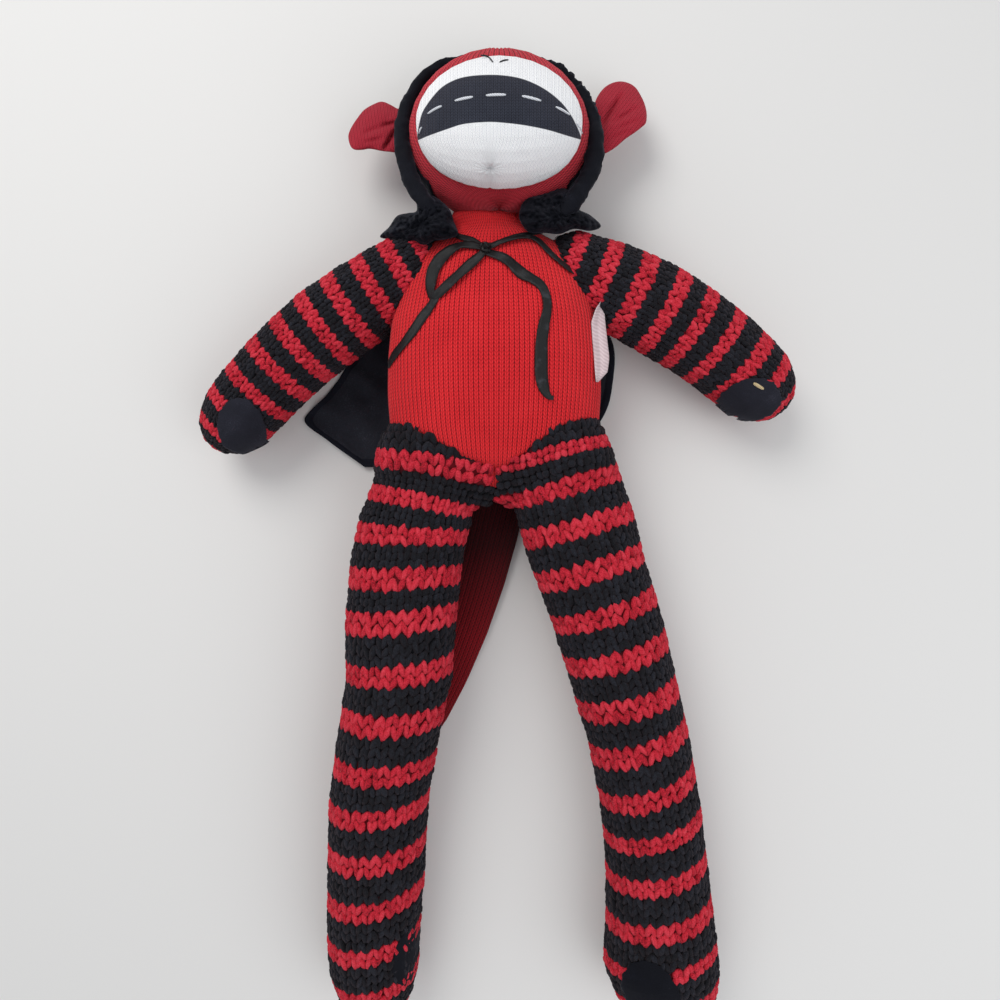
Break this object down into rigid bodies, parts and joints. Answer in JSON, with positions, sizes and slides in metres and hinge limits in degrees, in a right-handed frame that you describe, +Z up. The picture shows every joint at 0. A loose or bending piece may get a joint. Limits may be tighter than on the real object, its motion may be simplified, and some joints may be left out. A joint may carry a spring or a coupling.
{
  "type": "stuffed monkey doll",
  "caption": "Stuffed knitted monkey doll with a sewn muzzle and hood, long striped limbs that swing at their gathered roots, a tail, and a cape tied with a ribbon bow.",
  "frame": {"origin": "on the underside of the cape, beneath the middle of the body", "axes": "+Y to the crown of the head, +Z up out of the face and chest, +X to the right of a person looking down at the doll"},
  "size_m": [0.4388, 0.71, 0.1187],
  "materials": {
    "red_knit": "fine ribbed knit",
    "striped_knit": "chunky knit in red and black stripes",
    "white_knit": "fine ribbed knit",
    "black_knit": "smooth knit",
    "black_velour": "short pile",
    "black_satin": "satin sheen",
    "white_tape": "woven tape",
    "thread": "sewing thread",
    "black_button": "gloss"
  },
  "bodies": {
    "torso": {"torso": "red_knit", "hips": "striped_knit", "left_collar_ruffle": "black_velour", "right_collar_ruffle": "black_velour", "bow_knot": "black_satin", "left_bow_loop": "black_satin", "right_bow_loop": "black_satin", "left_ribbon_tail": "black_satin", "right_ribbon_tail": "black_satin", "left_neck_ribbon": "black_satin", "right_neck_ribbon": "black_satin", "care_tag": "white_tape"},
    "neck_gather": {"neck_seam": "thread"},
    "head": {"head": "red_knit", "muzzle_lower": "white_knit", "mouth_band": "black_knit", "muzzle_upper": "white_knit", "left_eye": "black_button", "right_eye": "black_button", "hood": "black_velour", "hood_rim": "black_velour"},
    "left_ear": {"left_ear": "red_knit"},
    "right_ear": {"right_ear": "red_knit"},
    "left_shoulder": {"left_shoulder_seam": "thread"},
    "right_shoulder": {"right_shoulder_seam": "thread"},
    "left_arm": {"left_arm": "striped_knit", "left_hand_patch": "black_knit"},
    "right_arm": {"right_arm": "striped_knit", "right_hand_patch": "black_knit"},
    "left_leg": {"left_leg": "striped_knit", "left_foot_patch": "black_knit"},
    "right_leg": {"right_leg": "striped_knit", "right_foot_patch": "black_knit"},
    "tail": {"tail": "red_knit"},
    "cape": {"cape": "black_velour"}
  },
  "joints": [
    {"name": "neck_turn", "type": "hinge", "parent": "torso", "child": "neck_gather", "pos_m": [0, 0.1047, 0.046], "axis": [0, 1, 0], "range_deg": [-45, 45]},
    {"name": "head_nod", "type": "hinge", "parent": "neck_gather", "child": "head", "pos_m": [0, 0.1047, 0.046], "axis": [-1, 0, 0], "range_deg": [-18, 15]},
    {"name": "left_ear_flop", "type": "hinge", "parent": "head", "child": "left_ear", "pos_m": [-0.06717, 0.17387, 0.03547], "axis": [0, 0.9397, -0.342], "range_deg": [-35, 40]},
    {"name": "right_ear_flop", "type": "hinge", "parent": "head", "child": "right_ear", "pos_m": [0.07417, 0.17387, 0.03547], "axis": [0, 0.9397, -0.342], "range_deg": [-40, 35]},
    {"name": "left_arm_swing", "type": "hinge", "parent": "torso", "child": "left_shoulder", "pos_m": [-0.059, 0.073, 0.05], "axis": [0, 0, -1], "range_deg": [0, 55]},
    {"name": "left_arm_lift", "type": "hinge", "parent": "left_shoulder", "child": "left_arm", "pos_m": [-0.059, 0.073, 0.05], "axis": [-0.6428, 0.766, 0], "range_deg": [0, 45]},
    {"name": "right_arm_swing", "type": "hinge", "parent": "torso", "child": "right_shoulder", "pos_m": [0.059, 0.073, 0.05], "axis": [0, 0, 1], "range_deg": [0, 55]},
    {"name": "right_arm_lift", "type": "hinge", "parent": "right_shoulder", "child": "right_arm", "pos_m": [0.059, 0.073, 0.05], "axis": [-0.5344, -0.8453, 0], "range_deg": [0, 45]},
    {"name": "left_leg_raise", "type": "hinge", "parent": "torso", "child": "left_leg", "pos_m": [-0.0465, -0.062, 0.05], "axis": [-1, 0, 0], "range_deg": [0, 75]},
    {"name": "right_leg_raise", "type": "hinge", "parent": "torso", "child": "right_leg", "pos_m": [0.0465, -0.062, 0.05], "axis": [-1, 0, 0], "range_deg": [0, 75]},
    {"name": "tail_swing", "type": "hinge", "parent": "torso", "child": "tail", "pos_m": [0.004, -0.088, 0.0079], "axis": [0, 0, 1], "range_deg": [-20, 45]},
    {"name": "cape_swing", "type": "hinge", "parent": "torso", "child": "cape", "pos_m": [0, 0.099, 0.0006], "axis": [1, 0, 0], "range_deg": [0, 80]}
  ]
}
